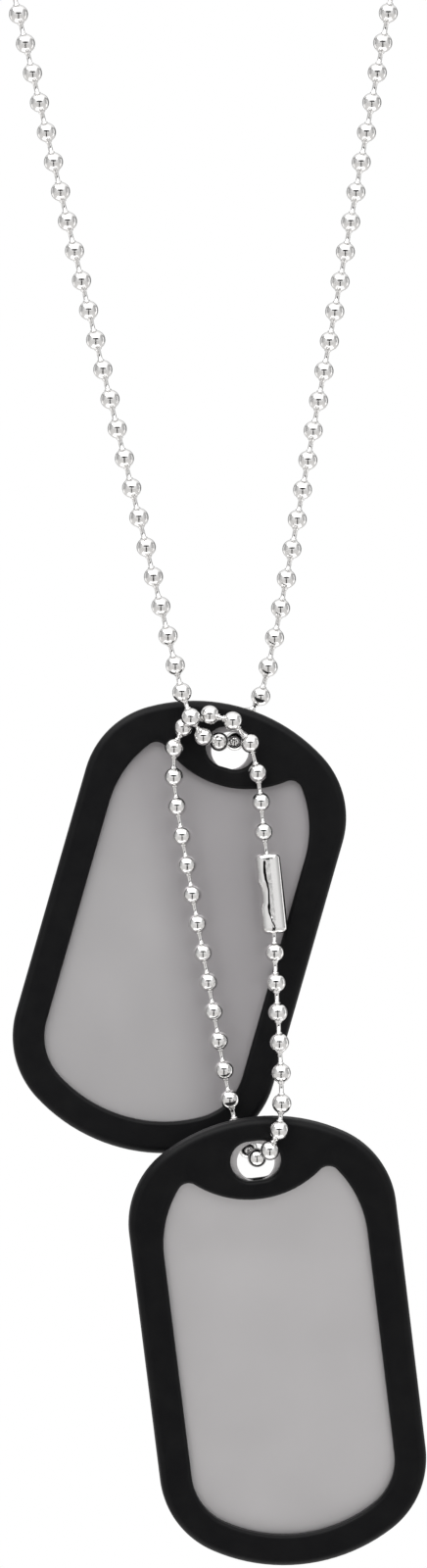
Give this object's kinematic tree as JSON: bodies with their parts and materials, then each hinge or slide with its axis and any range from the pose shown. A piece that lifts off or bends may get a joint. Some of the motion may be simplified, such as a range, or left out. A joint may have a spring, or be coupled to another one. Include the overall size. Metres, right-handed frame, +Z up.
{
  "type": "identification dog tag set on ball chains",
  "caption": "Blank steel identification tags in black rubber silencers, hanging from a neck-length ball chain and a short linked ball chain.",
  "frame": {"origin": "at the nape, in the middle of the clasp that closes the long chain", "axes": "+Z up along the hanging tags, -Y toward the viewer who sees the tags' fronts, +X to the viewer's right"},
  "size_m": [0.12, 0.128, 0.2864],
  "materials": {
    "tag_steel": "satin, tumbled sheet",
    "silencer_rubber": "satin moulded",
    "chain_steel": "bright nickel"
  },
  "bodies": {
    "chains": {"neck_chain": "chain_steel", "neck_clasp": "chain_steel", "short_chain": "chain_steel", "short_clasp": "chain_steel"},
    "upper_tag": {"upper_tag_plate": "tag_steel", "upper_silencer": "silencer_rubber"},
    "lower_tag": {"lower_tag_plate": "tag_steel", "lower_silencer": "silencer_rubber"}
  },
  "joints": [
    {"name": "upper_tag_swing", "type": "hinge", "parent": "chains", "child": "upper_tag", "pos_m": [0.0021, -0.116, -0.186], "axis": [0, 1, 0], "range_deg": [-45, 5]},
    {"name": "lower_tag_swing", "type": "hinge", "parent": "chains", "child": "lower_tag", "pos_m": [0.0066, -0.1219, -0.2355], "axis": [0, 1, 0], "range_deg": [-23, 37]}
  ]
}
